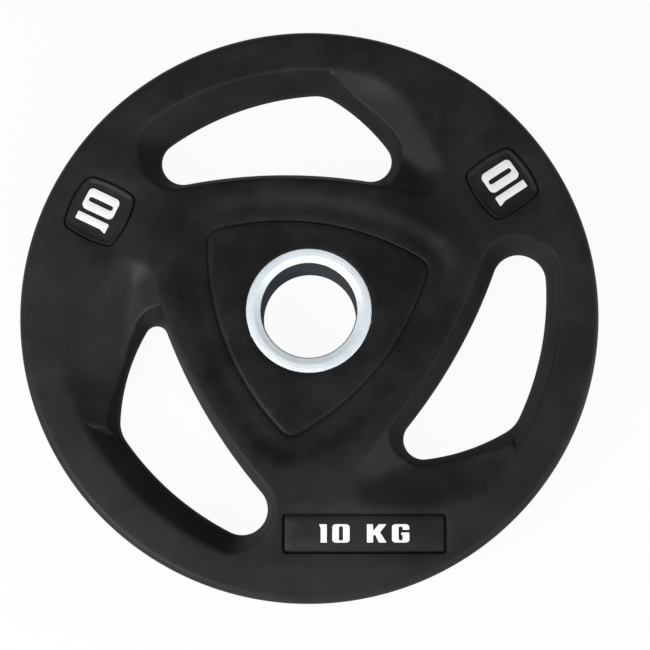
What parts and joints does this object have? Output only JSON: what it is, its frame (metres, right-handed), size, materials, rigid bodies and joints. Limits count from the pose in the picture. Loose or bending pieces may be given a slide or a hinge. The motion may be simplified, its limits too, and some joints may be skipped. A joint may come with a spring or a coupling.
{
  "type": "weight plate",
  "caption": "Rubber-coated round weight plate with grip holes swept round a steel hub sleeve, raised weight numerals and a label panel.",
  "frame": {"origin": "centre of the rear face, on the bore's axis", "axes": "+Z along the bore out of the front face, -Y towards the label panel, +X to the right in the picture"},
  "size_m": [0.31, 0.31, 0.038],
  "materials": {
    "rubber": "matt moulded black rubber",
    "cast_iron": "rough casting, hidden by the rubber",
    "zinc_plated_steel": "turned and bright zinc plated",
    "white_inlay": "white, satin"
  },
  "bodies": {
    "root": {"iron_core": "cast_iron", "front_rubber_skin": "rubber", "rear_rubber_skin": "rubber", "hub_sleeve": "zinc_plated_steel", "front_right_numeral_1": "white_inlay", "front_right_numeral_0": "white_inlay", "front_left_numeral_1": "white_inlay", "front_left_numeral_0": "white_inlay", "front_label_1": "white_inlay", "front_label_0": "white_inlay", "front_label_K": "white_inlay", "front_label_G": "white_inlay", "rear_right_numeral_1": "white_inlay", "rear_right_numeral_0": "white_inlay", "rear_left_numeral_1": "white_inlay", "rear_left_numeral_0": "white_inlay", "rear_label_1": "white_inlay", "rear_label_0": "white_inlay", "rear_label_K": "white_inlay", "rear_label_G": "white_inlay"}
  },
  "joints": []
}
